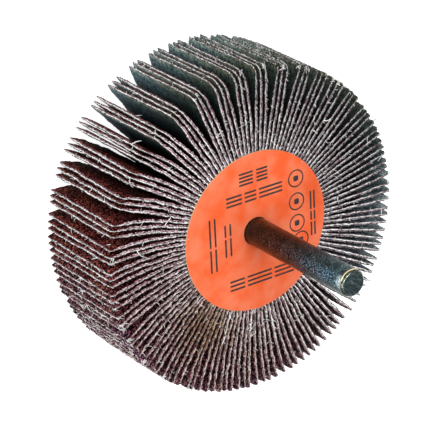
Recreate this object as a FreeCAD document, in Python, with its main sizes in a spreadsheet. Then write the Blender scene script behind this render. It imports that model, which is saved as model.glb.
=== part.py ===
import FreeCAD, Part
import math
import os

import Sketcher
from FreeCAD import Placement, Rotation, Vector

# A flap wheel: strips of coated cloth stand around a cast resin hub on a steel shank.
# The frame is in millimetres. +Z runs along the shank, and the wheel's rear face is the plane z = 0.
# Angles about +Z are in degrees, counted from +X.

DIMENSIONS = {
    # the ring of flaps
    "wheel_radius": 38.1,
    "flap_width": 25.0,
    "flap_sheet": 0.8,
    "root_gap": 0.06,
    "pack_count": 42,
    "flaps_per_pack": 3,
    # the small bevel at each flap's front corner
    "corner_depth": 0.3,
    "corner_height": 0.6,
    # the notches at the flaps' roots, which hold the hub's two rims
    "notch_depth": 1.1,
    "notch_height": 2.4,
    # where the first pack stands, and how the tips of the packs lean and gather
    "first_pack_angle": -1.5,
    "mean_lean_angle": 1.6,
    "lean_swing_angle": 1.5,
    "lean_scatter_angle": 0.7,
    "lean_peak_angle": 325.0,
    "gather_peak_angle": 250.0,
    "least_gather_share": 0.1,
    "tip_gap": 0.15,
    # the shank
    "shank_radius": 3.175,
    "shank_exposed": 34.8,
    "shank_seat": 4.0,
    "end_chamfer": 0.53,
    "flat_depth": 0.6,
    "flat_height": 4.0,
    "groove_land": 1.5,
    "groove_depth": 0.45,
    "groove_height": 1.5,
    "neck_height": 5.0,
    # the label
    "label_lap": 0.25,
    "label_sheet": 0.3,
    "label_clearance": 0.1,
}

# Sizes that pieces share, as expressions on the dimensions above and on the lines before them.
SHARED_SIZES = {
    "flap_count": "dimensions.pack_count * dimensions.flaps_per_pack",
    "root_radius": "(dimensions.flap_sheet + dimensions.root_gap) * flap_count / (2 * pi)",
    "rim_radius": "root_radius + dimensions.notch_depth",
    "label_radius": "rim_radius + dimensions.label_lap",
    "upper_rim": "dimensions.flap_width - dimensions.notch_height",
    "corner_radius": "dimensions.wheel_radius - dimensions.corner_depth",
    "corner_start": "dimensions.flap_width - dimensions.corner_height",
    "flat_distance": "dimensions.shank_radius - dimensions.flat_depth",
    "flat_end": "dimensions.shank_seat + dimensions.flat_height",
    "groove_radius": "dimensions.shank_radius - dimensions.groove_depth",
    "groove_start": "flat_end + dimensions.groove_land",
    "groove_end": "groove_start + dimensions.groove_height",
    "neck_end": "dimensions.flap_width + dimensions.label_sheet",
    "neck_start": "neck_end - dimensions.neck_height",
    "chamfer_radius": "dimensions.shank_radius - dimensions.end_chamfer",
    "shank_end": "neck_end + dimensions.shank_exposed",
    "chamfer_start": "shank_end - dimensions.end_chamfer",
}

# The scatter of the packs' leans goes in a wave: its start and its step from pack to pack, in radians.
SCATTER_START_ANGLE = 5.3
SCATTER_STEP_ANGLE = 1.34

# How fast the gathering of the tips falls off around its peak, as the power of a cosine.
GATHER_SHARPNESS = 6

# A flap bends over in this many straight runs.
BEND_RUNS = 3

doc = FreeCAD.newDocument("FlapWheel")


def make_dimensions():
    """The sheet of driving dimensions, one row each: the name and a plain number."""
    sheet = doc.addObject("Spreadsheet::Sheet", "dimensions")
    for row, (alias, value) in enumerate(DIMENSIONS.items(), start=1):
        sheet.set(f"A{row}", alias)
        sheet.set(f"B{row}", str(value))
        sheet.setAlias(f"B{row}", alias)
    doc.recompute()
    return sheet


def make_shared_sizes():
    """The set of sizes that follow from the dimensions."""
    sizes = doc.addObject("App::VarSet", "shared")
    for name, expression in SHARED_SIZES.items():
        sizes.addProperty("App::PropertyFloat", name, "Sizes")
        sizes.setExpression(name, expression)
    doc.recompute()
    return sizes


dimensions = make_dimensions()
shared = make_shared_sizes()


def dimension(alias):
    """A driving dimension's number."""
    return float(dimensions.get(alias))


def evaluate(expression):
    """The number that an expression on the dimensions and the shared sizes has now."""
    return float(shared.evalExpression(expression))


def make_body(label):
    """An empty body that will hold one turned, cast or cut piece."""
    body = doc.addObject("PartDesign::Body", label)
    body.Label = label
    return body


def attach_sketch(body, name, role):
    """A new sketch in one of the body's own origin planes, found by its role."""
    sketch = body.newObject("Sketcher::SketchObject", name)
    for feature in body.Origin.OriginFeatures:
        if feature.Role == role:
            sketch.AttachmentSupport = [(feature, "")]
    sketch.MapMode = "FlatFace"
    return sketch


def bind_coordinate(sketch, corner, kind, expression, axis):
    """Ties one coordinate of a corner to its expression, or to the sketch's axis where it is zero."""
    if expression == "0":
        sketch.addConstraint(Sketcher.Constraint("PointOnObject", corner, 1, axis))
        return
    distance = evaluate(expression)
    number = sketch.addConstraint(Sketcher.Constraint(kind, -1, 1, corner, 1, distance))
    sketch.setExpression(f"Constraints[{number}]", expression)


def outline_sketch(body, name, corners):
    """A closed outline in the XZ plane, from a pair of expressions, radius and height, for each corner."""
    sketch = attach_sketch(body, name, "XZ_Plane")
    points = [Vector(evaluate(radius), evaluate(height), 0) for radius, height in corners]
    following = points[1:] + points[:1]
    for start, finish in zip(points, following):
        sketch.addGeometry(Part.LineSegment(start, finish), False)
    for side in range(len(points)):
        next_side = (side + 1) % len(points)
        sketch.addConstraint(Sketcher.Constraint("Coincident", side, 2, next_side, 1))
    for corner, (radius, height) in enumerate(corners):
        bind_coordinate(sketch, corner, "DistanceX", radius, -2)
        bind_coordinate(sketch, corner, "DistanceY", height, -1)
    return sketch


def turned_body(label, corners):
    """A body turned about Z from the half section that the corners give."""
    body = make_body(label)
    section = outline_sketch(body, f"{label}_section", corners)
    turning = body.newObject("PartDesign::Revolution", f"{label}_turning")
    turning.Profile = section
    turning.ReferenceAxis = (section, ["V_Axis"])
    turning.Angle = 360.0
    section.Visibility = False
    doc.recompute()
    return body


def make_shank():
    """The steel pin: a chamfered free end, and a flat, a groove and a neck that the resin grips."""
    shank = turned_body("shank", [
        ("0", "dimensions.shank_seat"),
        ("dimensions.shank_radius", "dimensions.shank_seat"),
        ("dimensions.shank_radius", "shared.groove_start"),
        ("shared.groove_radius", "shared.groove_start"),
        ("shared.groove_radius", "shared.groove_end"),
        ("dimensions.shank_radius", "shared.groove_end"),
        ("dimensions.shank_radius", "shared.neck_start"),
        ("shared.groove_radius", "shared.neck_start"),
        ("shared.groove_radius", "shared.neck_end"),
        ("dimensions.shank_radius", "shared.neck_end"),
        ("dimensions.shank_radius", "shared.chamfer_start"),
        ("shared.chamfer_radius", "shared.shank_end"),
        ("0", "shared.shank_end"),
    ])
    turned_volume = shank.Shape.Volume
    flat_outline = outline_sketch(shank, "shank_flat_outline", [
        ("shared.flat_distance", "dimensions.shank_seat"),
        ("dimensions.shank_radius + dimensions.flat_depth", "dimensions.shank_seat"),
        ("dimensions.shank_radius + dimensions.flat_depth", "shared.flat_end"),
        ("shared.flat_distance", "shared.flat_end"),
    ])
    flat = shank.newObject("PartDesign::Pocket", "shank_flat")
    flat.Profile = flat_outline
    flat.SideType = "Symmetric"
    flat.setExpression("Length", "4 * dimensions.shank_radius")
    flat_outline.Visibility = False
    doc.recompute()
    if shank.Shape.Volume >= turned_volume:
        raise RuntimeError("the flat takes nothing off the shank")
    return shank


def make_resin_hub(shank):
    """The cast core: a spool whose two rims hold the flaps, with the shank's form left out of it."""
    spool = turned_body("resin_spool", [
        ("0", "0"),
        ("shared.rim_radius", "0"),
        ("shared.rim_radius", "dimensions.notch_height"),
        ("shared.root_radius", "dimensions.notch_height"),
        ("shared.root_radius", "shared.upper_rim"),
        ("shared.rim_radius", "shared.upper_rim"),
        ("shared.rim_radius", "dimensions.flap_width"),
        ("0", "dimensions.flap_width"),
    ])
    hub = doc.addObject("Part::Cut", "resin_hub")
    hub.Label = "resin_hub"
    hub.Base = spool
    hub.Tool = shank
    doc.recompute()
    return hub


def make_front_label():
    """The printed disc that is glued over the hub's front rim, around the shank."""
    label = make_body("front_label")
    outline = attach_sketch(label, "front_label_outline", "XY_Plane")
    outline.setExpression(".AttachmentOffset.Base.z", "dimensions.flap_width")
    radii = ["shared.label_radius", "dimensions.shank_radius + dimensions.label_clearance"]
    for circle, radius in enumerate(radii):
        outline.addGeometry(Part.Circle(Vector(0, 0, 0), Vector(0, 0, 1), evaluate(radius)), False)
        outline.addConstraint(Sketcher.Constraint("Coincident", circle, 3, -1, 1))
        number = outline.addConstraint(Sketcher.Constraint("Radius", circle, evaluate(radius)))
        outline.setExpression(f"Constraints[{number}]", radius)
    disc = label.newObject("PartDesign::Pad", "front_label_disc")
    disc.Profile = outline
    disc.setExpression("Length", "dimensions.label_sheet")
    outline.Visibility = False
    doc.recompute()
    return label


def make_flap_blank():
    """The side outline that every flap is cut to: notched at the root, bevelled at its front corner.

    It is cut in the plane of +X and +Z, and thick enough across it to trim a bent strip.
    """
    blank = make_body("flap_blank")
    outline = outline_sketch(blank, "flap_blank_outline", [
        ("shared.rim_radius", "0"),
        ("dimensions.wheel_radius", "0"),
        ("dimensions.wheel_radius", "shared.corner_start"),
        ("shared.corner_radius", "dimensions.flap_width"),
        ("shared.rim_radius", "dimensions.flap_width"),
        ("shared.rim_radius", "shared.upper_rim"),
        ("shared.root_radius", "shared.upper_rim"),
        ("shared.root_radius", "dimensions.notch_height"),
        ("shared.rim_radius", "dimensions.notch_height"),
    ])
    cut = blank.newObject("PartDesign::Pad", "flap_blank_cut")
    cut.Profile = outline
    cut.SideType = "Symmetric"
    cut.setExpression("Length", "dimensions.wheel_radius")
    outline.Visibility = False
    doc.recompute()
    return blank


def polar(radius, degrees):
    """A point in the plan, from its distance and its angle about the wheel's axis."""
    angle = math.radians(degrees)
    return Vector(radius * math.cos(angle), radius * math.sin(angle), 0)


def strip_outline(middle_line, sheet):
    """The plan of a strip of even thickness along a line of points, mitred where it bends."""
    normals = []
    for start, finish in zip(middle_line, middle_line[1:]):
        run = finish - start
        normals.append(Vector(-run.y, run.x, 0).normalize())
    left = []
    right = []
    for point, before, after in zip(middle_line, normals[:1] + normals, normals + normals[-1:]):
        mitre = (before + after).normalize()
        reach = mitre * (sheet / 2 / mitre.dot(before))
        left.append(point + reach)
        right.append(point - reach)
    return Part.makePolygon(left + right[::-1] + left[:1])


def pack_lean(number, pack_angle):
    """How far the tips of a pack stand turned from its roots, in degrees."""
    swing = math.cos(math.radians(pack_angle - dimension("lean_peak_angle")))
    scatter = math.sin(SCATTER_START_ANGLE + SCATTER_STEP_ANGLE * number)
    return (
        dimension("mean_lean_angle")
        + dimension("lean_swing_angle") * swing
        + dimension("lean_scatter_angle") * scatter
    )


def tip_pitch(pack_angle, root_pitch):
    """The angle between the tips of two flaps of a pack: less where the pack gathers."""
    half_turn = math.radians(pack_angle - dimension("gather_peak_angle")) / 2
    nearness = math.cos(half_turn) ** GATHER_SHARPNESS
    least = dimension("least_gather_share")
    gather = least + (1 - least) * nearness
    touching = math.degrees((dimension("flap_sheet") + dimension("tip_gap")) / dimension("wheel_radius"))
    return (1 - gather) * root_pitch + gather * touching


def make_flap(flap_blank, root_angle, tip_angle):
    """One strip of coated cloth. It leaves the hub straight out and bends over towards its tip."""
    sheet = dimension("flap_sheet")
    root = shared.root_radius - sheet
    reach = dimension("wheel_radius") + sheet - root
    middle_line = []
    for station in range(BEND_RUNS + 1):
        share = station / BEND_RUNS
        turned = (root_angle - tip_angle) * (1 - share ** 2)
        middle_line.append(polar(root + reach * share, turned))
    outline = Part.Face(strip_outline(middle_line, sheet))
    strip = outline.extrude(Vector(0, 0, dimension("flap_width")))
    flap = strip.common(flap_blank.Shape).Solids[0]
    flap.rotate(Vector(0, 0, 0), Vector(0, 0, 1), tip_angle)
    return flap


def make_flap_pack(number, flap_blank):
    """A group of flaps that stand together, each a separate strip."""
    pack_pitch = 360 / int(dimension("pack_count"))
    pack_angle = dimension("first_pack_angle") + number * pack_pitch
    flaps_per_pack = int(dimension("flaps_per_pack"))
    root_pitch = pack_pitch / flaps_per_pack
    gathered_pitch = tip_pitch(pack_angle, root_pitch)
    lean = pack_lean(number, pack_angle)
    flaps = []
    for flap in range(flaps_per_pack):
        place = flap - (flaps_per_pack - 1) / 2
        flaps.append(make_flap(flap_blank, place * root_pitch, place * gathered_pitch + lean))
    name = f"flap_pack_{number + 1:02d}"
    pack = doc.addObject("Part::Feature", name)
    pack.Label = name
    pack.Shape = Part.Compound(flaps)
    pack.Placement = Placement(Vector(0, 0, 0), Rotation(Vector(0, 0, 1), pack_angle))
    return pack


def check_and_export(pieces):
    """Stops on a failed object or a bad shape, and writes one file for each piece."""
    doc.recompute()
    for item in doc.Objects:
        if "Invalid" in item.State or "Error" in item.State:
            raise RuntimeError(f"{item.Name} did not compute: {item.State}")
    for piece in pieces:
        if piece.Shape.isNull() or not piece.Shape.isValid() or not piece.Shape.Solids:
            raise RuntimeError(f"{piece.Label} has no valid solid")
    os.makedirs("parts", exist_ok=True)
    for piece in pieces:
        piece.Shape.exportStep(f"parts/{piece.Label}.step")
        print(piece.Label, len(piece.Shape.Solids), "solids", round(piece.Shape.Volume, 2), "mm3")


shank = make_shank()
resin_hub = make_resin_hub(shank)
front_label = make_front_label()
flap_blank = make_flap_blank()
flap_packs = [make_flap_pack(number, flap_blank) for number in range(int(dimension("pack_count")))]
check_and_export([shank, resin_hub, front_label] + flap_packs)
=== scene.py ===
import math
import random
from collections import Counter

import bpy
from mathutils import Matrix, Vector, noise


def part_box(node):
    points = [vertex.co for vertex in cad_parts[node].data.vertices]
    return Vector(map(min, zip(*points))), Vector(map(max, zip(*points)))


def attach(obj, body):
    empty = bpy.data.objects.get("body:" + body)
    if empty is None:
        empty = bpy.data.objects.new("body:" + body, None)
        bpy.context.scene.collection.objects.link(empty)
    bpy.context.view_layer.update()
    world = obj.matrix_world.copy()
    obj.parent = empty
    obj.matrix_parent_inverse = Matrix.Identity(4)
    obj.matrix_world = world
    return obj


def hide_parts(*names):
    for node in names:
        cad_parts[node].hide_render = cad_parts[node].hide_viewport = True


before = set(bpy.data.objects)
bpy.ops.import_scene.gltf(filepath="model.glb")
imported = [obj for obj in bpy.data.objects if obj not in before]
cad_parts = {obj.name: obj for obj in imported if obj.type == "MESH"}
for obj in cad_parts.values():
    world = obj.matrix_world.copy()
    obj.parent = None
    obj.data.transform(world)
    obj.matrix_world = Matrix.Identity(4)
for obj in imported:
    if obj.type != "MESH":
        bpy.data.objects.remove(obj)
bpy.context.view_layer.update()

# The shank is a round steel pin with a chamfered end, tumbled until its skin is mottled. The hub
# is cast around its root, which has a flat, a groove and a neck for the resin to grip.
MM = 0.001
shank_low, shank_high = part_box("shank")
label_low, label_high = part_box("front_label")
SHANK_RADIUS = shank_high.x
NECK_RADIUS = SHANK_RADIUS - 0.45 * MM
FLAT_DEPTH = 0.6 * MM
FLAT_END = shank_low.z + 4.0 * MM
GROOVE_START = FLAT_END + 1.5 * MM
GROOVE_END = GROOVE_START + 1.5 * MM
NECK_START = label_high.z - 5.0 * MM
CHAMFER = 0.53 * MM
CORNER_ROUNDING = 0.15 * MM
# Where the painted highlight runs along the shank: its side and its heights.
HIGHLIGHT_SIDE = math.radians(291)
HIGHLIGHT_RISE = (label_high.z + 2.0 * MM, label_high.z + 13.0 * MM)
# The heights of the painted glint near the shank's end, on the highlight's side.
END_GLINT_RISE = (shank_high.z - 2.6 * MM, shank_high.z - 1.0 * MM)
# The side on which the corner outside the chamfer has its painted highlight.
GLINT_SIDE = math.radians(238)
SHANK_SIDES = 96
SHANK_STEPS = (
    (GROOVE_START, SHANK_RADIUS),
    (GROOVE_START, NECK_RADIUS),
    (GROOVE_END, NECK_RADIUS),
    (GROOVE_END, SHANK_RADIUS),
    (NECK_START, SHANK_RADIUS),
    (NECK_START, NECK_RADIUS),
    (label_high.z, NECK_RADIUS),
    (label_high.z, SHANK_RADIUS),
    (shank_high.z - CHAMFER, SHANK_RADIUS),
    (shank_high.z, SHANK_RADIUS - CHAMFER),
)


def select_only(piece):
    """Makes one piece the only selected object, and the one that operators act on."""
    bpy.ops.object.select_all(action="DESELECT")
    piece.select_set(True)
    bpy.context.view_layer.objects.active = piece


def apply_modifier(piece, kind, **settings):
    """Adds one modifier with its settings and applies it."""
    select_only(piece)
    modifier = piece.modifiers.new(kind.lower(), kind)
    for name, value in settings.items():
        setattr(modifier, name, value)
    bpy.ops.object.modifier_apply(modifier=modifier.name)


def face_outward():
    """Turns every face of the piece in edit mode outward."""
    bpy.ops.mesh.select_all(action="SELECT")
    bpy.ops.mesh.normals_make_consistent(inside=False)


def draw_disc(name, sides, radius, height):
    """A flat disc around the axis at a height, in edit mode with its face selected."""
    bpy.ops.object.select_all(action="DESELECT")
    bpy.ops.mesh.primitive_circle_add(
        vertices=sides, radius=radius, fill_type="NGON", location=(0, 0, height)
    )
    disc = bpy.context.object
    disc.name = name
    bpy.ops.object.transform_apply(location=True, rotation=True, scale=True)
    bpy.ops.object.mode_set(mode="EDIT")
    bpy.ops.mesh.select_mode(type="FACE")
    bpy.ops.mesh.select_all(action="SELECT")
    return disc


def screen_colour(red, green, blue):
    """A colour given as the screen shows it, from 0 to 255, in a shader's linear values."""
    shares = [value / 255 for value in (red, green, blue)]
    return (*[((share + 0.055) / 1.055) ** 2.4 for share in shares], 1.0)


def new_finish(name, **values):
    """A material whose shader has the given values in its sockets."""
    finish = bpy.data.materials.new(name)
    finish.use_nodes = True
    shader = finish.node_tree.nodes["Principled BSDF"]
    for socket, value in values.items():
        shader.inputs[socket.replace("_", " ")].default_value = value
    return finish


def add_node(finish, kind, source=None, **values):
    """A node with the given values in its sockets, fed by a source at its first one."""
    node = finish.node_tree.nodes.new(kind)
    for socket, value in values.items():
        node.inputs[socket.replace("_", " ")].default_value = value
    if source is not None:
        finish.node_tree.links.new(source, node.inputs[0])
    return node


def add_noise(finish, place, size, detail, **values):
    """A cloudy pattern of the given size, from 0 to 1."""
    cloud = add_node(
        finish, "ShaderNodeTexNoise", place, Scale=1 / size, Detail=detail, **values
    )
    return cloud.outputs["Fac"]


def add_ramp(finish, source, stops):
    """Turns a pattern's value into colours, from pairs of place and colour."""
    ramp = add_node(finish, "ShaderNodeValToRGB", source)
    elements = ramp.color_ramp.elements
    elements[0].position, elements[0].color = stops[0]
    elements[1].position, elements[1].color = stops[-1]
    for place, colour in stops[1:-1]:
        elements.new(place).color = colour
    return ramp.outputs["Color"]


def grey(value):
    """A ramp's colour that stands for a plain number."""
    return (value, value, value, 1.0)


def feed_shader(finish, socket, source):
    """Links a pattern to one of the shader's sockets."""
    shader = finish.node_tree.nodes["Principled BSDF"]
    finish.node_tree.links.new(source, shader.inputs[socket])


def add_bump(finish, height, strength, depth):
    """Roughens the surface by a pattern, as deep as is given."""
    bump = add_node(finish, "ShaderNodeBump", Strength=strength, Distance=depth)
    finish.node_tree.links.new(height, bump.inputs["Height"])
    feed_shader(finish, "Normal", bump.outputs["Normal"])


def add_mix(finish, kind, first, second, share=1.0):
    """Blends two colours, by a fixed share or by a pattern's."""
    mix = add_node(finish, "ShaderNodeMixRGB")
    mix.blend_type = kind
    if isinstance(share, float):
        mix.inputs["Fac"].default_value = share
    else:
        finish.node_tree.links.new(share, mix.inputs["Fac"])
    finish.node_tree.links.new(first, mix.inputs["Color1"])
    finish.node_tree.links.new(second, mix.inputs["Color2"])
    return mix.outputs["Color"]


def add_side(finish, place, side, stops):
    """Colours by how near a point of the shank's skin is to one side of it, from 0 to 1 there."""
    facing = add_node(finish, "ShaderNodeVectorMath", place)
    facing.operation = "DOT_PRODUCT"
    facing.inputs[1].default_value = (math.cos(side), math.sin(side), 0)
    share = add_node(
        finish, "ShaderNodeMapRange", facing.outputs["Value"], From_Min=0.0, From_Max=SHANK_RADIUS
    )
    return add_ramp(finish, share.outputs["Result"], stops)


def add_share(finish, place, axis, start, end):
    """How far a point is along an axis, from 0 at the start to 1 at the end."""
    parts = add_node(finish, "ShaderNodeSeparateXYZ", place)
    share = add_node(
        finish, "ShaderNodeMapRange", parts.outputs[axis], From_Min=start, From_Max=end
    )
    return share.outputs["Result"]


def add_highlight_share(finish, place, width_stops, rise):
    """A share for a painted highlight: full along one side of the shank above a rise, and none
    elsewhere.
    """
    width = add_side(finish, place, HIGHLIGHT_SIDE, width_stops)
    return add_mix(finish, "MULTIPLY", width, add_share(finish, place, "Z", *rise))


def tumbled_steel():
    """Dark grey-green steel with fine pale speckles and an uneven gloss, and a painted highlight
    along one side: pale blue speckles, and a pale glint near the end.
    """
    finish = new_finish("tumbled_steel", Metallic=1.0)
    place = add_node(finish, "ShaderNodeTexCoord").outputs["Object"]
    skin = add_noise(finish, place, 0.35 * MM, 5.0, Roughness=0.75)
    tint = add_ramp(finish, skin, [
        (0.38, screen_colour(20, 26, 24)),
        (0.50, screen_colour(58, 76, 80)),
        (0.62, screen_colour(92, 114, 118)),
    ])
    stain = add_noise(finish, place, 1.8 * MM, 4.0)
    dull = add_ramp(finish, stain, [(0.38, grey(0.45)), (0.62, grey(1.0))])
    tint = add_mix(finish, "MULTIPLY", tint, dull)
    # Painted highlight: pale blue speckles along one side of the shank, above the label.
    highlight_speckle = add_ramp(finish, skin, [
        (0.48, screen_colour(20, 32, 38)),
        (0.63, screen_colour(142, 178, 200)),
    ])
    highlight_band = add_highlight_share(finish, place, [(0.84, grey(0.0)), (0.98, grey(1.0))], HIGHLIGHT_RISE)
    tint = add_mix(finish, "MIX", tint, highlight_speckle, highlight_band)
    # Painted glint: pale speckles near the shank's end, on the highlight's side.
    worn = add_ramp(finish, skin, [
        (0.40, screen_colour(88, 110, 114)),
        (0.58, screen_colour(206, 222, 222)),
    ])
    end_glint = add_highlight_share(finish, place, [(0.88, grey(0.0)), (0.99, grey(1.0))], END_GLINT_RISE)
    feed_shader(finish, "Base Color", add_mix(finish, "MIX", tint, worn, end_glint))
    cloud = add_noise(finish, place, 0.3 * MM, 3.0)
    gloss = add_ramp(finish, cloud, [(0.40, grey(0.12)), (0.60, grey(0.26))])
    feed_shader(finish, "Roughness", gloss)
    dents = add_noise(finish, place, 0.45 * MM, 2.0)
    add_bump(finish, dents, 1.0, 0.16 * MM)
    return finish


def glint_painted_steel():
    """The corner outside the chamfer, with a painted highlight: bright and faintly yellow on one
    side, grey-green elsewhere.
    """
    finish = new_finish("glint_painted_steel", Metallic=1.0, Roughness=0.3)
    place = add_node(finish, "ShaderNodeTexCoord").outputs["Object"]
    tint = add_side(finish, place, GLINT_SIDE, [
        (0.00, screen_colour(104, 120, 114)),
        (0.60, screen_colour(146, 152, 136)),
        (0.90, screen_colour(244, 222, 170)),
    ])
    feed_shader(finish, "Base Color", tint)
    return finish


def turned_steel():
    """The chamfer itself: grey steel with a yellow cast and fine turning marks."""
    finish = new_finish("turned_steel", Metallic=1.0, Roughness=0.3)
    place = add_node(finish, "ShaderNodeTexCoord").outputs["Object"]
    marks = add_noise(finish, place, 0.5 * MM, 4.0)
    tint = add_ramp(finish, marks, [
        (0.35, screen_colour(60, 66, 60)),
        (0.50, screen_colour(110, 116, 104)),
        (0.66, screen_colour(190, 200, 190)),
    ])
    feed_shader(finish, "Base Color", tint)
    add_bump(finish, marks, 0.4, 0.02 * MM)
    return finish


def parted_steel():
    """The end face as it was parted off: dark slate with faint streaks."""
    finish = new_finish("parted_steel", Metallic=1.0, Roughness=0.4)
    place = add_node(finish, "ShaderNodeTexCoord").outputs["Object"]
    long_way = add_node(
        finish, "ShaderNodeMapping", place, Scale=(1.0, 0.25, 1.0), Rotation=(0, 0, 0.6)
    )
    streaks = add_noise(finish, long_way.outputs[0], 0.5 * MM, 4.0, Roughness=0.7)
    tint = add_ramp(finish, streaks, [
        (0.35, screen_colour(62, 78, 80)),
        (0.55, screen_colour(96, 114, 116)),
        (0.72, screen_colour(160, 176, 176)),
    ])
    feed_shader(finish, "Base Color", tint)
    add_bump(finish, streaks, 0.5, 0.04 * MM)
    return finish


def make_shank():
    """Draws the pin upward from its root, ring by ring, rounds its corners and cuts the flat."""
    shank = draw_disc("tumbled_shank", SHANK_SIDES, SHANK_RADIUS, shank_low.z)
    height_before, radius_before = shank_low.z, SHANK_RADIUS
    for height, radius in SHANK_STEPS:
        rise = height - height_before
        bpy.ops.mesh.extrude_region_move(TRANSFORM_OT_translate={"value": (0, 0, rise)})
        share = radius / radius_before
        bpy.ops.transform.resize(value=(share, share, 1))
        height_before, radius_before = height, radius
    face_outward()
    bpy.ops.object.mode_set(mode="OBJECT")
    apply_modifier(
        shank, "BEVEL", width=CORNER_ROUNDING, segments=3, limit_method="ANGLE",
        angle_limit=math.radians(30),
    )
    flat_height = FLAT_END - shank_low.z
    bpy.ops.object.select_all(action="DESELECT")
    bpy.ops.mesh.primitive_cube_add(
        size=1, location=(SHANK_RADIUS - FLAT_DEPTH / 2 + MM, 0, shank_low.z + flat_height / 2 - MM)
    )
    cutter = bpy.context.object
    cutter.scale = (FLAT_DEPTH + 2 * MM, 3 * SHANK_RADIUS, flat_height + 2 * MM)
    apply_modifier(shank, "BOOLEAN", operation="DIFFERENCE", object=cutter)
    bpy.data.objects.remove(cutter)
    select_only(shank)
    bpy.ops.object.shade_smooth_by_angle(angle=math.radians(35))
    for finish in (tumbled_steel(), glint_painted_steel(), turned_steel(), parted_steel()):
        shank.data.materials.append(finish)
    for face in shank.data.polygons:
        if face.center.z > shank_high.z - CHAMFER - CORNER_ROUNDING:
            if face.normal.z > 0.98:
                face.material_index = 3
            elif abs(face.normal.z - math.cos(math.radians(45))) < 0.02:
                face.material_index = 2
            elif face.normal.z > 0.1:
                on_rim = math.hypot(face.center.x, face.center.y) > SHANK_RADIUS - CHAMFER / 2
                face.material_index = 1 if on_rim else 2
    return shank


shank = make_shank()
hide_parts("shank")
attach(shank, "root")

# The hub is epoxy resin, poured around the shank and the flaps' roots and left as it set. Only a
# little of it shows, between the flaps and at the wheel's back.
RESIN_CLOUD = 2.5 * MM


def cast_resin():
    """Dark brown resin, clouded, with a soft gloss and small pits."""
    finish = new_finish("cast_resin_finish", Roughness=0.42)
    place = add_node(finish, "ShaderNodeTexCoord").outputs["Object"]
    cloud = add_noise(finish, place, RESIN_CLOUD, 4.0)
    tint = add_ramp(finish, cloud, [
        (0.30, screen_colour(58, 40, 30)),
        (0.55, screen_colour(86, 62, 44)),
        (0.75, screen_colour(120, 92, 66)),
    ])
    feed_shader(finish, "Base Color", tint)
    pits = add_node(finish, "ShaderNodeTexVoronoi", place, Scale=1 / (0.8 * MM))
    add_bump(finish, pits.outputs["Distance"], 0.25, 0.05 * MM)
    return finish


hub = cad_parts["resin_hub"]
hub.data.materials.clear()
hub.data.materials.append(cast_resin())

# The flaps are strips of stiff cotton cloth with a coat of brown grit on one side. They are cut
# with a ragged edge, stood in packs of three around the hub, and dressed at their front corners.
hub_low, hub_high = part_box("resin_hub")
WHEEL_RADIUS = 38.1 * MM
FLAP_WIDTH = hub_high.z
RIM_RADIUS = hub_high.x
ROOT_RADIUS = RIM_RADIUS - 1.1 * MM
NOTCH_HEIGHT = 2.4 * MM
CORNER_RADIUS = WHEEL_RADIUS - 0.3 * MM
CORNER_START = FLAP_WIDTH - 0.6 * MM
PACK_COUNT = 42
FLAPS_PER_PACK = 3
PACK_PITCH = math.tau / PACK_COUNT
ROOT_PITCH = PACK_PITCH / FLAPS_PER_PACK
FLAP_SHEET = 0.8 * MM
FLAP_LAYERS = (-0.40 * MM, -0.17 * MM, -0.05 * MM, 0.24 * MM, 0.40 * MM)
TIP_CLOTH_LOSS = 0.02 * MM
TIP_GAP = 0.15 * MM
FIRST_PACK_ANGLE = math.radians(-1.5)
MEAN_LEAN = math.radians(1.6)
LEAN_SWING = math.radians(1.5)
LEAN_SCATTER = math.radians(0.7)
LEAN_PEAK = math.radians(325)
SCATTER_START = 5.3
SCATTER_STEP = 1.34
GATHER_PEAK = math.radians(250)
GATHER_SHARPNESS = 6
LEAST_GATHER = 0.1
DRIFT_SHARE = 0.42
TAPER_LENGTH = 5.0 * MM
CORNER_TAPER = 0.7
FLAP_COLUMNS = 7
FLAP_ROWS = 4
FRAY_STEP = 0.32 * MM
WAVE = 0.20 * MM
WAVE_SIZE = 3.0 * MM
JAG_SIZE = 0.9 * MM
MEAN_COARSENESS = 0.95
COARSENESS_SWING = 0.40
COARSE_SIDE = math.radians(-15)
SHORTFALL = (0.0, 0.3 * MM)
OVERCUT = 0.5 * MM
OVERCUT_SIDE = math.radians(150)
CORNER_ROUND = (0.3 * MM, 0.8 * MM)
WORN_ROUND = 2.4 * MM
WORN_SIDE = math.radians(230)
SLIMNESS = 0.25
SLIM_SIDE = math.radians(195)
FRAY = (
    # for each layer: looseness along the cut, wander across it, least and most jitter across
    (0.10 * MM, 0.12 * MM, -0.06 * MM, 0.10 * MM),
    (0.10 * MM, 0.10 * MM, -0.06 * MM, 0.06 * MM),
    (0.12 * MM, 0.12 * MM, -0.06 * MM, 0.08 * MM),
    (0.14 * MM, 0.12 * MM, -0.09 * MM, 0.08 * MM),
    (0.10 * MM, 0.12 * MM, -0.10 * MM, 0.06 * MM),
)
PATCH_PLACE = (24.5 * MM, 1.0 * MM, 25.0 * MM)
PATCH_REACH = 10.0 * MM
TUFTS = {
    # for a flap, by its pack and its place there: the tuft's distance from the axis
    (2, 0.0): 22.5 * MM,
    (4, 0.0): 22.0 * MM,
    (6, -1.0): 25.0 * MM,
}
TUFT_STRANDS = 16
TUFT_REACH = 3.0 * MM
SHAGGY_STRANDS = 30
SHAGGY_SIDE = math.radians(338)
MAT_LENGTH = (0.8 * MM, 1.8 * MM)
MAT_WIDTH = 0.20 * MM
MAT_CURL = (0.3, 1.0)
KNOT_SHARE = 0.45
KNOT_STRANDS = (4, 9)
KNOT_SPREAD = 0.4 * MM
KNOT_LENGTH = (0.6 * MM, 1.4 * MM)
KNOT_WIDTH = 0.24 * MM
KNOT_CURL = (0.6, 2.4)
FIBRE_COUNT = (10, 20)
FIBRE_LENGTH = (0.4 * MM, 1.1 * MM)
FIBRE_WIDTH = 0.13 * MM
FIBRE_CURL = (0.5, 2.5)
LONG_THREAD_SHARE = 0.25
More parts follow.
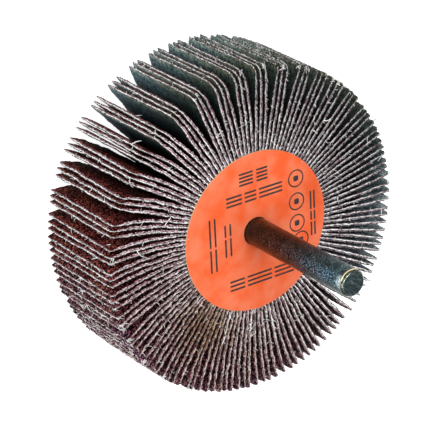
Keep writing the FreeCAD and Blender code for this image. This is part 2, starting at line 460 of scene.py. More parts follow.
LONG_THREAD_START = RIM_RADIUS + 4.0 * MM
LONG_THREAD_LENGTH = (1.4 * MM, 2.8 * MM)
LONG_THREAD_WIDTH = 0.28 * MM
LONG_THREAD_CURL = (0.4, 1.6)
FRONT_START = FLAP_WIDTH - 0.5 * MM
REAR_END = 1.0 * MM
THREAD_STEPS = 5
THREAD_TAPER = 0.88
THREAD_REACH = 0.7 * MM
TINY = 0.001 * MM
SIDE_COAT, SIDE_BACKING, EDGE_COAT, EDGE_GLUE, EDGE_CLOTH = range(5)
chance = random.Random(41)


def add_reach(finish, place, stops):
    """Colours by the distance from the wheel's axis, from 0 at the hub's rim to 1 at the tips."""
    flat = add_node(finish, "ShaderNodeVectorMath", place)
    flat.operation = "MULTIPLY"
    flat.inputs[1].default_value = (1, 1, 0)
    distance = add_node(finish, "ShaderNodeVectorMath", flat.outputs["Vector"])
    distance.operation = "LENGTH"
    share = add_node(
        finish, "ShaderNodeMapRange", distance.outputs["Value"],
        From_Min=RIM_RADIUS, From_Max=WHEEL_RADIUS,
    )
    return add_ramp(finish, share.outputs["Result"], stops)


def add_patch(finish, place, tint):
    """Turns a tint tan and darker around one place on the wheel's front."""
    offset = add_node(finish, "ShaderNodeVectorMath", place)
    offset.operation = "DISTANCE"
    offset.inputs[1].default_value = PATCH_PLACE
    nearness = add_node(
        finish, "ShaderNodeMapRange", offset.outputs["Value"], From_Min=PATCH_REACH, From_Max=0.0
    )
    stain = add_ramp(finish, nearness.outputs["Result"], [
        (0.0, screen_colour(255, 255, 255)),
        (0.7, screen_colour(216, 198, 166)),
    ])
    return add_mix(finish, "MULTIPLY", tint, stain)


def coated_side():
    """Red-brown grit: close cells of single grains, dark towards the hub in painted shade, and
    mauve with dust on one side, with painted light at its tips there.
    """
    finish = new_finish("grit_coat", Roughness=0.85, Specular_IOR_Level=0.06)
    place = add_node(finish, "ShaderNodeTexCoord").outputs["Object"]
    grains = add_node(finish, "ShaderNodeTexVoronoi", place, Scale=1 / (0.27 * MM))
    tint = add_ramp(finish, grains.outputs["Color"], [
        (0.28, screen_colour(12, 3, 4)),
        (0.53, screen_colour(50, 15, 14)),
        (0.66, screen_colour(112, 42, 35)),
        (0.80, screen_colour(232, 142, 126)),
    ])
    dusty_and_lit = add_ramp(finish, grains.outputs["Color"], [
        (0.30, screen_colour(14, 5, 8)),
        (0.54, screen_colour(46, 18, 24)),
        (0.67, screen_colour(94, 44, 58)),
        (0.82, screen_colour(206, 150, 174)),
    ])
    # Painted light: the grit paler at the tips on the side with dust.
    painted_tip_light = add_ramp(finish, grains.outputs["Color"], [
        (0.40, screen_colour(50, 34, 44)),
        (0.76, screen_colour(236, 222, 238)),
    ])
    at_tip = add_reach(finish, place, [(0.90, grey(0.0)), (1.00, grey(0.4))])
    dusty_and_lit = add_mix(finish, "MIX", dusty_and_lit, painted_tip_light, at_tip)
    # Painted shade on the side with dust: darker towards the hub.
    dusty_painted_shade = add_reach(finish, place, [(0.10, grey(0.12)), (0.50, grey(0.42)), (1.00, grey(1.0))])
    dusty_and_lit = add_mix(finish, "MULTIPLY", dusty_and_lit, dusty_painted_shade)
    hue = add_noise(finish, place, 5.0 * MM, 2.0)
    cast = add_ramp(finish, hue, [
        (0.42, screen_colour(255, 230, 214)),
        (0.60, screen_colour(222, 188, 206)),
    ])
    # Painted shade: the grit darker towards the hub, deep between the flaps.
    depth = add_reach(finish, place, [
        (0.10, grey(0.05)),
        (0.55, grey(0.20)),
        (0.82, grey(0.60)),
        (1.00, grey(1.0)),
    ])
    # The side of the wheel where the grit is mauve with dust, and lit at the tips as painted light.
    dust = add_share(finish, place, "Y", -32.0 * MM, -16.0 * MM)
    tint = add_mix(finish, "MIX", add_mix(finish, "MULTIPLY", tint, depth), dusty_and_lit, dust)
    feed_shader(finish, "Base Color", add_mix(finish, "MULTIPLY", tint, cast))
    add_bump(finish, grains.outputs["Distance"], 0.6, 0.08 * MM)
    return finish


def backing_side():
    """The cloth's back, pale at the rear tips: blue, then black inward in painted shade, darker to
    the front in painted shade, and paler in blotches on one side, partly painted light.
    """
    finish = new_finish("sized_backing", Roughness=0.7, Specular_IOR_Level=0.2)
    place = add_node(finish, "ShaderNodeTexCoord").outputs["Object"]
    weave = add_node(finish, "ShaderNodeTexVoronoi", place, Scale=1 / (0.40 * MM))
    tint = add_ramp(finish, weave.outputs["Color"], [
        (0.26, screen_colour(110, 128, 132)),
        (0.50, screen_colour(196, 214, 220)),
        (0.74, screen_colour(255, 255, 255)),
    ])
    # Painted shade: the backing black inward between the flaps, paler towards the tips.
    depth = add_reach(finish, place, [
        (0.20, screen_colour(13, 13, 13)),
        (0.50, screen_colour(34, 38, 40)),
        (0.72, screen_colour(80, 110, 126)),
        (0.91, screen_colour(130, 160, 166)),
        (1.00, screen_colour(216, 230, 212)),
    ])
    # Painted shade: the backing darker towards the wheel's front, with painted light lifting it on
    # one side (+Y).
    painted_front_shade = add_ramp(finish, add_share(finish, place, "Z", 0.0, FLAP_WIDTH), [
        (0.15, screen_colour(255, 255, 255)),
        (0.60, screen_colour(190, 184, 170)),
        (1.00, screen_colour(140, 128, 104)),
    ])
    painted_side_light = add_ramp(finish, add_share(finish, place, "Y", 8.0 * MM, 28.0 * MM), [
        (0.0, screen_colour(0, 0, 0)),
        (1.0, screen_colour(120, 136, 150)),
    ])
    painted_front_shade = add_mix(finish, "SCREEN", painted_front_shade, painted_side_light)
    depth = add_mix(finish, "MULTIPLY", depth, painted_front_shade)
    # Paler blotches on one side (+Y): partly the cloth's own mottle, partly painted light; darker
    # towards the hub in painted shade.
    mottle_and_light = add_reach(finish, place, [
        (0.10, screen_colour(44, 50, 52)),
        (0.45, screen_colour(120, 140, 150)),
        (1.00, screen_colour(206, 222, 224)),
    ])
    cloud = add_noise(finish, place, 4.0 * MM, 3.0)
    patch = add_ramp(finish, cloud, [(0.44, grey(0.1)), (0.54, grey(1.0))])
    side = add_share(finish, place, "Y", 20.0 * MM, 29.0 * MM)
    mottle_and_light_share = add_mix(finish, "MULTIPLY", patch, side)
    depth = add_mix(finish, "MIX", depth, mottle_and_light, mottle_and_light_share)
    feed_shader(finish, "Base Color", add_mix(finish, "MULTIPLY", depth, tint))
    add_bump(finish, weave.outputs["Distance"], 0.5, 0.06 * MM)
    return finish


def coated_edge():
    """The coat where it was cut: broken mauve grains, greyer away from one side of the wheel."""
    finish = new_finish("cut_grit", Roughness=0.7, Specular_IOR_Level=0.2)
    place = add_node(finish, "ShaderNodeTexCoord").outputs["Object"]
    grains = add_node(finish, "ShaderNodeTexVoronoi", place, Scale=1 / (0.30 * MM))
    tint = add_ramp(finish, grains.outputs["Color"], [
        (0.24, screen_colour(68, 33, 37)),
        (0.44, screen_colour(166, 106, 115)),
        (0.60, screen_colour(222, 166, 178)),
        (0.78, screen_colour(255, 232, 240)),
    ])
    stain = add_ramp(finish, add_share(finish, place, "X", 0.0, 20.0 * MM), [
        (0.0, screen_colour(154, 180, 176)),
        (1.0, screen_colour(200, 200, 180)),
    ])
    stained = add_mix(finish, "MULTIPLY", tint, stain)
    shade = add_ramp(finish, add_share(finish, place, "X", -30.0 * MM, -8.0 * MM), [
        (0.0, screen_colour(160, 158, 152)),
        (1.0, screen_colour(255, 255, 255)),
    ])
    shaded = add_mix(finish, "MULTIPLY", tint, shade)
    share = add_share(finish, place, "Y", -30.0 * MM, -8.0 * MM)
    tint = add_mix(finish, "MIX", shaded, stained, share)
    worn = add_reach(finish, place, [
        (0.92, screen_colour(255, 255, 255)),
        (0.97, screen_colour(160, 130, 128)),
    ])
    fuzz = add_reach(finish, place, [
        (0.92, screen_colour(255, 255, 255)),
        (0.97, screen_colour(250, 236, 250)),
    ])
    fuzzy = add_share(finish, place, "Y", -20.0 * MM, -6.0 * MM)
    worn = add_mix(finish, "MIX", worn, fuzz, fuzzy)
    tint = add_mix(finish, "MULTIPLY", tint, worn)
    feed_shader(finish, "Base Color", add_patch(finish, place, tint))
    add_bump(finish, grains.outputs["Distance"], 0.9, 0.10 * MM)
    return finish


def glue_edge():
    """The dark glue between the coat and the cloth, and the dark size on the cloth's back."""
    finish = new_finish("glue_line", Roughness=0.6, Specular_IOR_Level=0.2)
    place = add_node(finish, "ShaderNodeTexCoord").outputs["Object"]
    grains = add_node(finish, "ShaderNodeTexVoronoi", place, Scale=1 / (0.30 * MM))
    tint = add_ramp(finish, grains.outputs["Color"], [
        (0.40, screen_colour(26, 16, 16)),
        (0.76, screen_colour(110, 80, 84)),
    ])
    feed_shader(finish, "Base Color", tint)
    return finish


def cloth_edge():
    """Cut cotton: bright thread ends, with dust between some of them, dirtier patches, and painted
    shade towards -X.
    """
    finish = new_finish("cut_cotton", Roughness=0.85)
    place = add_node(finish, "ShaderNodeTexCoord").outputs["Object"]
    ends = add_node(finish, "ShaderNodeTexVoronoi", place, Scale=1 / (0.36 * MM))
    tint = add_ramp(finish, ends.outputs["Color"], [
        (0.24, screen_colour(176, 170, 174)),
        (0.38, screen_colour(240, 240, 243)),
        (0.50, screen_colour(255, 255, 255)),
    ])
    patch = add_noise(finish, place, 1.6 * MM, 4.0)
    dirt = add_ramp(finish, patch, [
        (0.36, screen_colour(176, 164, 166)),
        (0.50, screen_colour(255, 255, 255)),
    ])
    # Painted shade: darker towards -X; a little darker and warmer towards +X.
    dust = add_ramp(finish, add_share(finish, place, "X", -30.0 * MM, 25.0 * MM), [
        (0.0, screen_colour(206, 203, 203)),
        (0.4, screen_colour(255, 255, 255)),
        (0.6, screen_colour(255, 255, 255)),
        (1.0, screen_colour(218, 206, 202)),
    ])
    dirty_and_shaded = add_mix(finish, "MULTIPLY", add_mix(finish, "MULTIPLY", tint, dust), dirt)
    at_tip = add_reach(finish, place, [(0.93, grey(0.0)), (0.98, grey(0.8))])
    tint = add_mix(finish, "MIX", dirty_and_shaded, tint, at_tip)
    feed_shader(finish, "Base Color", add_patch(finish, place, tint))
    return finish


def outline_edges(piece):
    """The edges of an open sheet's outline that stand clear of the hub, each with its length."""
    faces_at = Counter(key for face in piece.data.polygons for key in face.edge_keys)
    found = []
    for edge in piece.data.edges:
        start, end = [piece.data.vertices[number].co for number in edge.vertices]
        if faces_at[edge.key] == 1 and max(start.x, end.x) > RIM_RADIUS + TINY:
            found.append((edge, (end - start).length))
    return found


def divide_outline(piece):
    """Divides the outline into short steps, one length of edge at a time, from the longest."""
    while True:
        long_edges = [pair for pair in outline_edges(piece) if pair[1] > 1.5 * FRAY_STEP]
        if not long_edges:
            return
        longest = max(length for edge, length in long_edges)
        select_only(piece)
        bpy.ops.object.mode_set(mode="EDIT")
        bpy.ops.mesh.select_mode(type="EDGE")
        bpy.ops.mesh.select_all(action="DESELECT")
        bpy.ops.object.mode_set(mode="OBJECT")
        for edge, length in outline_edges(piece):
            edge.select = length > longest - TINY
        bpy.ops.object.mode_set(mode="EDIT")
        bpy.ops.mesh.subdivide(number_cuts=round(longest / FRAY_STEP) - 1, ngon=True)
        bpy.ops.object.mode_set(mode="OBJECT")


def cut_sheet(point, normal, clear=False):
    """Cuts the whole sheet in edit mode along a plane, and clears what is beyond it if asked."""
    bpy.ops.mesh.select_all(action="SELECT")
    bpy.ops.mesh.bisect(plane_co=point, plane_no=normal, clear_outer=clear)


def make_flap_blank():
    """One flap, flat in the plane of +X and +Z: cut to its outline, then given its thickness."""
    length = WHEEL_RADIUS - ROOT_RADIUS
    bpy.ops.object.select_all(action="DESELECT")
    bpy.ops.mesh.primitive_plane_add(
        size=1, location=(ROOT_RADIUS + length / 2, FLAP_LAYERS[0], FLAP_WIDTH / 2),
        rotation=(math.pi / 2, 0, 0),
    )
    blank = bpy.context.object
    blank.name = "flap_blank"
    blank.scale = (length, FLAP_WIDTH, 1)
    bpy.ops.object.transform_apply(location=True, rotation=True, scale=True)
    bpy.ops.object.mode_set(mode="EDIT")
    bpy.ops.mesh.select_mode(type="FACE")
    for column in range(FLAP_COLUMNS):
        distance = RIM_RADIUS + (WHEEL_RADIUS - RIM_RADIUS) * column / FLAP_COLUMNS
        cut_sheet((distance, 0, 0), (1, 0, 0))
    for row in range(FLAP_ROWS + 1):
        height = NOTCH_HEIGHT + (FLAP_WIDTH - 2 * NOTCH_HEIGHT) * row / FLAP_ROWS
        cut_sheet((0, 0, height), (0, 0, 1))
    corner_fall = Vector((FLAP_WIDTH - CORNER_START, 0, WHEEL_RADIUS - CORNER_RADIUS))
    cut_sheet((CORNER_RADIUS, 0, FLAP_WIDTH), corner_fall.normalized(), clear=True)
    bpy.ops.mesh.select_all(action="DESELECT")
    bpy.ops.object.mode_set(mode="OBJECT")
    for face in blank.data.polygons:
        beside_rim = abs(face.center.z - FLAP_WIDTH / 2) > FLAP_WIDTH / 2 - NOTCH_HEIGHT
        face.select = face.center.x < RIM_RADIUS and beside_rim
    bpy.ops.object.mode_set(mode="EDIT")
    bpy.ops.mesh.delete(type="FACE")
    bpy.ops.object.mode_set(mode="OBJECT")
    divide_outline(blank)
    frayed = blank.vertex_groups.new(name="frayed")
    for edge, length in outline_edges(blank):
        frayed.add(list(edge.vertices), 1.0, "REPLACE")
    bpy.ops.object.mode_set(mode="EDIT")
    bpy.ops.mesh.select_mode(type="FACE")
    bpy.ops.mesh.select_all(action="SELECT")
    for layer_before, layer in zip(FLAP_LAYERS, FLAP_LAYERS[1:]):
        step = layer - layer_before
        bpy.ops.mesh.extrude_region_move(TRANSFORM_OT_translate={"value": (0, step, 0)})
    face_outward()
    bpy.ops.object.mode_set(mode="OBJECT")
    for vertex in blank.data.vertices:
        at_tip = vertex.co.x > WHEEL_RADIUS - TINY
        if at_tip and abs(vertex.co.y - FLAP_LAYERS[3]) < TINY:
            vertex.co.y -= TIP_CLOTH_LOSS
    return blank


def paint_flap_sides(blank):
    """Gives each face of the flap its finish, by the layer that it lies in."""
    for finish in (coated_side(), backing_side(), coated_edge(), glue_edge(), cloth_edge()):
        blank.data.materials.append(finish)
    for face in blank.data.polygons:
        across = face.center.y
        if across < FLAP_LAYERS[0] + TINY:
            face.material_index = SIDE_COAT
        elif across < FLAP_LAYERS[1]:
            face.material_index = EDGE_COAT
        elif across < FLAP_LAYERS[2]:
            face.material_index = EDGE_GLUE
        elif across < FLAP_LAYERS[3]:
            face.material_index = EDGE_CLOTH
        elif across < FLAP_LAYERS[4] - TINY:
            face.material_index = EDGE_GLUE
        else:
            face.material_index = SIDE_BACKING


flap_blank = make_flap_blank()
paint_flap_sides(flap_blank)


def pack_angle(number):
    """Where a pack stands around the hub."""
    return FIRST_PACK_ANGLE + number * PACK_PITCH


def nearness(number, side):
    """How near a pack stands to one side of the wheel: 1 there, and 0 from a quarter turn away."""
    return max(0.0, math.cos(pack_angle(number) - side))


def pack_lean(number):
    """How far the tips of a pack stand turned from its roots."""
    swing = math.cos(pack_angle(number) - LEAN_PEAK)
    scatter = math.sin(SCATTER_START + SCATTER_STEP * number)
    return MEAN_LEAN + LEAN_SWING * swing + LEAN_SCATTER * scatter


def pack_tip_pitch(number):
    """The angle between the tips of two flaps of a pack: less where the pack gathers."""
    peak = math.cos((pack_angle(number) - GATHER_PEAK) / 2) ** GATHER_SHARPNESS
    gather = LEAST_GATHER + (1 - LEAST_GATHER) * peak
    touching = (FLAP_SHEET + TIP_GAP) / WHEEL_RADIUS
    return (1 - gather) * ROOT_PITCH + gather * touching


def ruffle(point, seed, size):
    """A smooth random value between about -1 and 1 that changes over the given size."""
    return noise.noise(Vector((point[0] / size, point[2] / size, seed)))


def round_corner(flap, radius):
    """Draws the front corner of the tip in to a quarter round."""
    middle_x, middle_z = WHEEL_RADIUS - radius, FLAP_WIDTH - radius
    for vertex in flap.data.vertices:
        out, up = vertex.co.x - middle_x, vertex.co.z - middle_z
        if out > 0 and up > 0:
            share = max(out, up) / math.hypot(out, up)
            vertex.co.x = middle_x + out * share
            vertex.co.z = middle_z + up * share


def shorten_flap(flap, shortfall):
    """Takes a little off the flap's reach beyond the hub."""
    share = 1 - shortfall / (WHEEL_RADIUS - RIM_RADIUS)
    for vertex in flap.data.vertices:
        if vertex.co.x > RIM_RADIUS:
            vertex.co.x = RIM_RADIUS + (vertex.co.x - RIM_RADIUS) * share


def fray_edge(flap, seed, coarseness):
    """Roughens the cut edge: broken grit on the coat's side, uneven threads on the cloth's."""
    for vertex in flap.data.vertices:
        if not vertex.groups:
            continue
        x, across, z = vertex.co
        layer = min(range(len(FLAP_LAYERS)), key=lambda number: abs(across - FLAP_LAYERS[number]))
        loose, wander, start, finish = FRAY[layer]
        aside = wander * ruffle(vertex.co, seed + layer / 7, JAG_SIZE)
        aside += chance.uniform(start, finish)
        across += coarseness * (WAVE * ruffle(vertex.co, seed + 0.5, WAVE_SIZE) + aside)
        x += chance.uniform(-loose, loose)
        z += chance.uniform(-loose, loose)
        vertex.co = (x, across, z)


def make_thread_blank():
    """A straight strand, a unit long and wide and thinner to its end, that each thread copies."""
    blank = draw_disc("thread_blank", 4, 0.5, 0.0)
    for step in range(THREAD_STEPS):
        rise = 1 / THREAD_STEPS
        bpy.ops.mesh.extrude_region_move(TRANSFORM_OT_translate={"value": (0, 0, rise)})
        bpy.ops.transform.resize(value=(THREAD_TAPER, THREAD_TAPER, 1))
    face_outward()
    bpy.ops.object.mode_set(mode="OBJECT")
    return blank


def loose_cotton():
    """Loose cotton strands, almost white."""
    finish = new_finish("loose_cotton", Roughness=0.9)
    place = add_node(finish, "ShaderNodeTexCoord").outputs["Object"]
    shade = add_noise(finish, place, 1.0 * MM, 2.0)
    tint = add_ramp(finish, shade, [
        (0.35, screen_colour(214, 218, 212)),
        (0.55, screen_colour(255, 255, 255)),
    ])
    feed_shader(finish, "Base Color", tint)
    return finish


thread_blank = make_thread_blank()
thread_blank.data.materials.append(loose_cotton())


def add_thread(base, heading, length, width, curl):
    """A loose thread that leaves its base along the heading and curls aside by the given turn."""
    thread = thread_blank.copy()
    thread.data = thread_blank.data.copy()
    bpy.context.collection.objects.link(thread)
    heading = heading.normalized()
    aside = Vector([chance.uniform(-1, 1) for axis in range(3)]).cross(heading).normalized()
    third = heading.cross(aside)
    reach = length / curl
    for vertex in thread.data.vertices:
        turned = curl * vertex.co.z
        line = heading * (reach * math.sin(turned)) + aside * (reach * (1 - math.cos(turned)))
        normal = aside * math.cos(turned) - heading * math.sin(turned)
        spread = normal * (vertex.co.x * width) + third * (vertex.co.y * width)
        vertex.co = base + line + spread
    return thread


def cut_edge_points(flap):
    """The points of the cloth's cut edge on the front and the tip, where threads come loose."""
    points = []
    for vertex in flap.data.vertices:
        if vertex.groups and FLAP_LAYERS[2] - TINY < vertex.co.y < FLAP_LAYERS[3] + TINY:
            if vertex.co.z > REAR_END:
                points.append(vertex.co.copy())
    return points


def knot_threads(corner):
    """A small knot of curled thread ends at the flap's front corner."""
    threads = []
    for strand in range(chance.randint(*KNOT_STRANDS)):
        base = corner + Vector([chance.uniform(-KNOT_SPREAD, KNOT_SPREAD) for axis in range(3)])
        heading = Vector([chance.uniform(-1, 1) for axis in range(3)])
        length = chance.uniform(*KNOT_LENGTH)
        curl = chance.uniform(*KNOT_CURL)
        threads.append(add_thread(base, heading, length, KNOT_WIDTH, curl))
    return threads


def loose_threads(points):
    """Short fibres all along the cut edge, some long threads, and a knot at some front corners."""
    threads = []
    if chance.random() < KNOT_SHARE:
        threads += knot_threads(max(points, key=lambda point: point.x + point.z))
    for fibre in range(chance.randint(*FIBRE_COUNT)):
        base = chance.choice(points)
        on_front = base.z > FRONT_START
        out = Vector((0, 0, 1)) if on_front else Vector((1, 0, 0))
        along = Vector((1, 0, 0)) if on_front else Vector((0, 0, 1))
        heading = out * chance.uniform(0.1, 0.8) + along * chance.uniform(-1, 1)
        heading += Vector((0, chance.uniform(-0.9, 0.9), 0))
        length = chance.uniform(*FIBRE_LENGTH)
        curl = chance.uniform(*FIBRE_CURL)
        threads.append(add_thread(base, heading, length, FIBRE_WIDTH, curl))
    if chance.random() < LONG_THREAD_SHARE:
        base = chance.choice([point for point in points if point.x > LONG_THREAD_START])
        heading = Vector((chance.uniform(-1, 0.3), chance.uniform(-0.8, 0.8), 0.35))
        length = chance.uniform(*LONG_THREAD_LENGTH)
        curl = chance.uniform(*LONG_THREAD_CURL)
        threads.append(add_thread(base, heading, length, LONG_THREAD_WIDTH, curl))
    return threads


def lay_mat(points, along, strands):
    """Matted threads that lie both ways along a stretch of the cut edge."""
    threads = []
    for strand in range(strands):
        aside = Vector([chance.uniform(-0.35, 0.35) for axis in range(3)])
        heading = chance.choice((-1, 1)) * along + aside
        length = chance.uniform(*MAT_LENGTH)
        curl = chance.uniform(*MAT_CURL)
        threads.append(add_thread(chance.choice(points), heading, length, MAT_WIDTH, curl))
    return threads


def bend_flap(flap, root_angle, tip_angle, rear_turn, slimness):
    """Stands a flat flap on the hub: straight out at its root, over and thinner towards its tip."""
    bend_start = ROOT_RADIUS - FLAP_SHEET
    bend_length = WHEEL_RADIUS + FLAP_SHEET - bend_start
    for vertex in flap.data.vertices:
        x, across, z = vertex.co
        thinning = max(0.0, (x - WHEEL_RADIUS + TAPER_LENGTH) / TAPER_LENGTH) ** 2
        beside_corner = abs(2 * z / FLAP_WIDTH - 1) ** 8
        across *= 1 - CORNER_TAPER * thinning * beside_corner
        share = (x - bend_start) / bend_length
        across *= 1 - slimness * share
        turn = tip_angle - root_angle + rear_turn * (1 - z / FLAP_WIDTH)
        angle = root_angle + turn * share ** 2
        heading = angle + math.atan(2 * turn * share * x / bend_length)
        point = Vector((x * math.cos(angle), x * math.sin(angle)))
        point += across * Vector((-math.sin(heading), math.cos(heading)))
        if point.length > WHEEL_RADIUS + THREAD_REACH:
            point.length = WHEEL_RADIUS + THREAD_REACH
        vertex.co = (point.x, point.y, max(z, 0.0))


def join_pieces(pieces, name):
    """Joins several pieces into the first of them."""
    bpy.ops.object.select_all(action="DESELECT")
    for piece in pieces:
        piece.select_set(True)
    bpy.context.view_layer.objects.active = pieces[0]
    bpy.ops.object.join()
    pieces[0].name = name
    return pieces[0]


def make_flap(number, place, drift):
    """One flap of a pack: cut a little short, rounded, frayed, and bent over."""
    flap = flap_blank.copy()
    flap.data = flap_blank.data.copy()
    bpy.context.collection.objects.link(flap)
    worn = nearness(number, WORN_SIDE) ** 16
    round_corner(flap, chance.uniform(*CORNER_ROUND) + WORN_ROUND * worn)
    shorten_flap(flap, chance.uniform(*SHORTFALL) + OVERCUT * nearness(number, OVERCUT_SIDE))
    coarseness = MEAN_COARSENESS + COARSENESS_SWING * math.cos(pack_angle(number) - COARSE_SIDE)
    fray_edge(flap, number * FLAPS_PER_PACK + place, coarseness)
    points = cut_edge_points(flap)
    threads = loose_threads(points)
    shagginess = nearness(number, SHAGGY_SIDE) ** 12
    rim_points = [point for point in points if point.x > CORNER_RADIUS - MM]
    threads += lay_mat(rim_points, Vector((0, 0, 1)), round(SHAGGY_STRANDS * shagginess))
    if (number, place) in TUFTS:
        distance = TUFTS[number, place]
        front_points = [point for point in points if point.z > FRONT_START]
        near_points = [point for point in front_points if abs(point.x - distance) < TUFT_REACH]
        threads += lay_mat(near_points, Vector((1, 0, 0)), TUFT_STRANDS)
    flap = join_pieces([flap] + threads, "flap")
    pitch = pack_tip_pitch(number)
    fan = (ROOT_PITCH - pitch) * place * chance.uniform(0.0, 0.5)
    tip_angle = pack_angle(number) + place * pitch + pack_lean(number) + drift
    slimness = SLIMNESS * nearness(number, SLIM_SIDE)
    bend_flap(flap, pack_angle(number) + place * ROOT_PITCH, tip_angle, fan, slimness)
    return flap


def make_pack(number):
    """Three flaps, each frayed and bent in its own way, joined as one piece."""
    spare = pack_tip_pitch(number) - (FLAP_SHEET + TIP_GAP) / WHEEL_RADIUS
    flaps = []
    for flap_number in range(FLAPS_PER_PACK):
        place = flap_number - (FLAPS_PER_PACK - 1) / 2
        drift = chance.uniform(-DRIFT_SHARE, DRIFT_SHARE) * spare
        flaps.append(make_flap(number, place, drift))
    pack = join_pieces(flaps, f"flaps_{number + 1:02d}")
    pack.vertex_groups.clear()
    bpy.ops.object.shade_smooth_by_angle(angle=math.radians(40))
    return pack


for number in range(PACK_COUNT):
    pack = make_pack(number)
    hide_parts(f"flap_pack_{number + 1:02d}")
    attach(pack, "root")
bpy.data.objects.remove(flap_blank)
bpy.data.objects.remove(thread_blank)

# The label is a disc of card, printed orange on its face and glued to the hub's front rim. Its
# cut edge shows the pale board, and a hole in its middle lets the shank through.
LABEL_RADIUS = label_high.x
LABEL_SHEET = label_high.z - label_low.z
LABEL_HOLE = SHANK_RADIUS + 0.1 * MM
LABEL_SIDES = 192
LABEL_ROUNDING = 0.06 * MM


def orange_print():
    """Orange ink on smooth card, a little uneven, with a soft gloss."""
    finish = new_finish("orange_card", Roughness=0.5, Specular_IOR_Level=0.3)
    place = add_node(finish, "ShaderNodeTexCoord").outputs["Object"]
    cloud = add_noise(finish, place, 5.0 * MM, 3.0)
    tint = add_ramp(finish, cloud, [
        (0.36, screen_colour(255, 103, 49)),
        (0.64, screen_colour(255, 131, 90)),
    ])
    feed_shader(finish, "Base Color", tint)
    fibre = add_noise(finish, place, 0.2 * MM, 2.0)
    add_bump(finish, fibre, 0.3, 0.01 * MM)
    return finish


def bare_board():
    """The card's cut edge: pale straw-coloured board."""
    finish = new_finish("card_edge", Roughness=0.8)
    place = add_node(finish, "ShaderNodeTexCoord").outputs["Object"]
    cloud = add_noise(finish, place, 0.4 * MM, 2.0)
    tint = add_ramp(finish, cloud, [
        (0.35, screen_colour(214, 170, 120)),
        (0.65, screen_colour(244, 216, 172)),
    ])
    feed_shader(finish, "Base Color", tint)
    return finish


def make_label():
    """A ring cut from a disc, given the card's thickness and a soft edge."""
    label = draw_disc("printed_label", LABEL_SIDES, LABEL_RADIUS, label_low.z)
    bpy.ops.mesh.inset(thickness=LABEL_RADIUS - LABEL_HOLE)
    bpy.ops.mesh.delete(type="FACE")
    bpy.ops.mesh.select_all(action="SELECT")
    bpy.ops.mesh.extrude_region_move(TRANSFORM_OT_translate={"value": (0, 0, LABEL_SHEET)})
    face_outward()
    bpy.ops.object.mode_set(mode="OBJECT")
    apply_modifier(
        label, "BEVEL", width=LABEL_ROUNDING, segments=2, limit_method="ANGLE",
        angle_limit=math.radians(40),
    )
    bpy.ops.object.shade_smooth_by_angle(angle=math.radians(35))
    label.data.materials.append(orange_print())
    label.data.materials.append(bare_board())
    for face in label.data.polygons:
        face.material_index = 0 if face.normal.z > 0.9 else 1
    return label


label = make_label()
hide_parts("front_label")
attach(label, "root")

# The print on the label is dark ink in plain shapes: rows of stacked strips, and a column of rings
# with a dot in each. It follows the label's own frame, turned about the shank.
PRINT_TURN = math.radians(129)
INK_SHEET = 0.02 * MM
INK_ROUNDING = 0.3
RING_LINE = 0.32 * MM
RING_SIDES = 40
STRIP_WIDTH = 0.45


def print_ink():
    """Matt dark grey ink, thinner in places."""
    finish = new_finish("dark_ink", Roughness=0.6)
    place = add_node(finish, "ShaderNodeTexCoord").outputs["Object"]
    cloud = add_noise(finish, place, 0.5 * MM, 3.0)
    tint = add_ramp(finish, cloud, [
        (0.35, screen_colour(34, 40, 40)),
        (0.70, screen_colour(66, 58, 54)),
    ])
    feed_shader(finish, "Base Color", tint)
    return finish


ink = print_ink()
printed = []


def lay_print(mark, along, up):
    """Moves a mark to its place on the label's face, turned to the print's own frame."""
    place = Matrix.Rotation(PRINT_TURN, 4, "Z") @ Matrix.Translation((along, up, label_high.z))
    mark.data.transform(place)
    mark.data.materials.append(ink)
    printed.append(mark)


def print_block(along, up, width, height):
    """A flat block of ink with rounded corners, its sizes in millimetres."""
    bpy.ops.object.select_all(action="DESELECT")
    bpy.ops.mesh.primitive_cube_add(size=1)
    mark = bpy.context.object
    mark.scale = (width * MM, height * MM, INK_SHEET)
    bpy.ops.object.transform_apply(location=True, rotation=True, scale=True)
    bpy.ops.object.mode_set(mode="EDIT")
    bpy.ops.mesh.select_mode(type="EDGE")
    bpy.ops.mesh.select_all(action="DESELECT")
    bpy.ops.object.mode_set(mode="OBJECT")
    for edge in mark.data.edges:
        start, end = [mark.data.vertices[number].co for number in edge.vertices]
        edge.select = abs(start.z - end.z) > INK_SHEET / 2
    bpy.ops.object.mode_set(mode="EDIT")
    bpy.ops.mesh.bevel(offset=INK_ROUNDING * min(width, height) * MM, segments=4, affect="EDGES")
    bpy.ops.object.mode_set(mode="OBJECT")
    lay_print(mark, along * MM, up * MM)


def print_ring(along, up, radius):
    """A thin ring of ink, its sizes in millimetres."""
    mark = draw_disc("printed_ring", RING_SIDES, radius * MM, -INK_SHEET / 2)
    bpy.ops.mesh.inset(thickness=RING_LINE)
    bpy.ops.mesh.delete(type="FACE")
    bpy.ops.mesh.select_all(action="SELECT")
    bpy.ops.mesh.extrude_region_move(TRANSFORM_OT_translate={"value": (0, 0, INK_SHEET)})
    face_outward()
    bpy.ops.object.mode_set(mode="OBJECT")
    lay_print(mark, along * MM, up * MM)


def print_row(start, end, up, height, strips, widths, upright=False):
    """A row of stacked strips, from start to end in millimetres. Upright, it runs up the label."""
    gap = 0.3 * height
    share = (end - start - gap * (len(widths) - 1)) / sum(widths)
    at = start
    for width in widths:
        middle = at + width * share / 2
        for strip in range(strips):
            level = up + (height - STRIP_WIDTH) * (strip / (strips - 1) - 0.5)
            if upright:
                print_block(level, middle, STRIP_WIDTH, width * share)
            else:
                print_block(middle, level, width * share, STRIP_WIDTH)
        at += width * share + gap


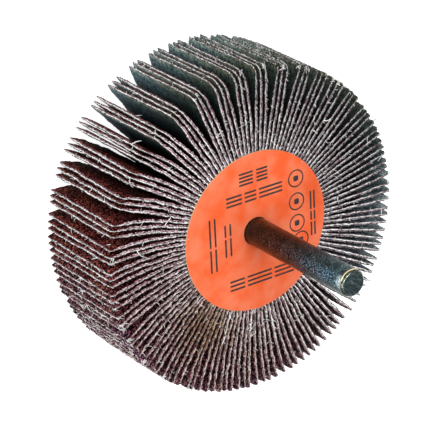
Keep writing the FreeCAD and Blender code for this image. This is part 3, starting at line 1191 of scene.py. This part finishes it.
print_row(-4.0, 3.6, 13.1, 3.0, 4, [5, 4])
print_row(-7.6, 7.4, 8.7, 2.4, 3, [4, 3, 6])
print_row(-6.6, 6.1, -11.5, 1.8, 2, [4, 5], upright=True)
print_row(-4.0, 3.7, -7.5, 1.8, 2, [3, 2], upright=True)
print_row(-5.5, 5.3, 15.4, 1.4, 2, [3, 2, 4], upright=True)
print_row(-7.5, 9.7, -11.3, 2.5, 3, [3, 5, 4])
for along, up in ((11.1, 9.4), (11.1, 3.9), (11.05, -1.3), (11.95, -5.6)):
    print_ring(along, up, 2.1)
    print_block(along, up, 1.3, 1.3)
bpy.ops.object.select_all(action="DESELECT")
for mark in printed:
    mark.select_set(True)
bpy.context.view_layer.objects.active = printed[0]
bpy.ops.object.join()
label_print = bpy.context.object
label_print.name = "label_print"
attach(label_print, "root")

# The stage is a plain white floor under the wheel's rear face. It shows white to the camera and
# in reflections, and part of its white is lit, so that it keeps the wheel's soft shadow.
FLOOR_SIZE = 6.0
FLOOR_DROP = 0.05 * MM
FLOOR_GLOW = 0.85


def floor_paint():
    """White paint that partly glows, for the camera, mirrors and glass."""
    paint = new_finish("white_floor", Base_Color=grey(0.8), Roughness=0.9)
    links = paint.node_tree.links
    path = add_node(paint, "ShaderNodeLightPath")
    seen = path.outputs["Is Camera Ray"]
    for ray in ("Is Glossy Ray", "Is Transmission Ray"):
        either = add_node(paint, "ShaderNodeMath", seen)
        either.operation = "MAXIMUM"
        links.new(path.outputs[ray], either.inputs[1])
        seen = either.outputs[0]
    glow = add_node(paint, "ShaderNodeMath", seen)
    glow.operation = "MULTIPLY"
    glow.inputs[1].default_value = FLOOR_GLOW
    shader = paint.node_tree.nodes["Principled BSDF"]
    shader.inputs["Emission Color"].default_value = grey(1.0)
    links.new(glow.outputs[0], shader.inputs["Emission Strength"])
    return paint


bpy.ops.object.select_all(action="DESELECT")
bpy.ops.mesh.primitive_plane_add(size=FLOOR_SIZE, location=(0, 0, -FLOOR_DROP))
floor = bpy.context.object
floor.name = "floor"
floor.data.materials.append(floor_paint())

# The light is a plain pale world and three soft lamps, at a level at which a colour shows about
# as it is written.
WORLD_STRENGTH = 0.30
LAMPS = (
    # name, place, size, power
    ("key_lamp", (-0.15, -0.28, 1.07), 0.6, 7.3),
    ("low_lamp", (0.60, -0.38, 0.72), 0.3, 1.8),
    ("side_lamp", (0.15, -0.83, 0.22), 0.4, 1.9),
)

world = bpy.data.worlds.new("studio")
bpy.context.scene.world = world
world.use_nodes = True
world.node_tree.nodes["Background"].inputs["Color"].default_value = grey(1.0)
world.node_tree.nodes["Background"].inputs["Strength"].default_value = WORLD_STRENGTH
for name, place, size, power in LAMPS:
    lamp = bpy.data.lights.new(name, "AREA")
    lamp.shape = "DISK"
    lamp.size = size
    lamp.energy = power
    holder = bpy.data.objects.new(name, lamp)
    holder.location = place
    holder.rotation_mode = "QUATERNION"
    holder.rotation_quaternion = Vector(place).to_track_quat("Z", "Y")
    bpy.context.collection.objects.link(holder)

# The camera looks at the label from in front, tilted from the shank's line, and rolled so that
# the shank points down to the right.
VIEW_TILT = math.radians(40.655)
VIEW_ROLL = math.radians(118.716)
VIEW_DISTANCE = 585.5 * MM
VIEW_OFFSET = Vector((-9.03 * MM, 3.51 * MM, VIEW_DISTANCE))
LENS = 224.2

turn = Matrix.Rotation(VIEW_TILT, 4, "X") @ Matrix.Rotation(VIEW_ROLL, 4, "Z")
camera = bpy.data.objects.new("camera", bpy.data.cameras.new("camera"))
camera.data.lens = LENS
camera.data.sensor_width = 36.0
camera.data.clip_start = 0.01
camera.data.clip_end = 20.0
aim = Matrix.Translation((0, 0, label_high.z))
camera.matrix_world = aim @ turn @ Matrix.Translation(VIEW_OFFSET)
bpy.context.collection.objects.link(camera)
bpy.context.scene.camera = camera
bpy.context.scene.view_settings.view_transform = "Standard"
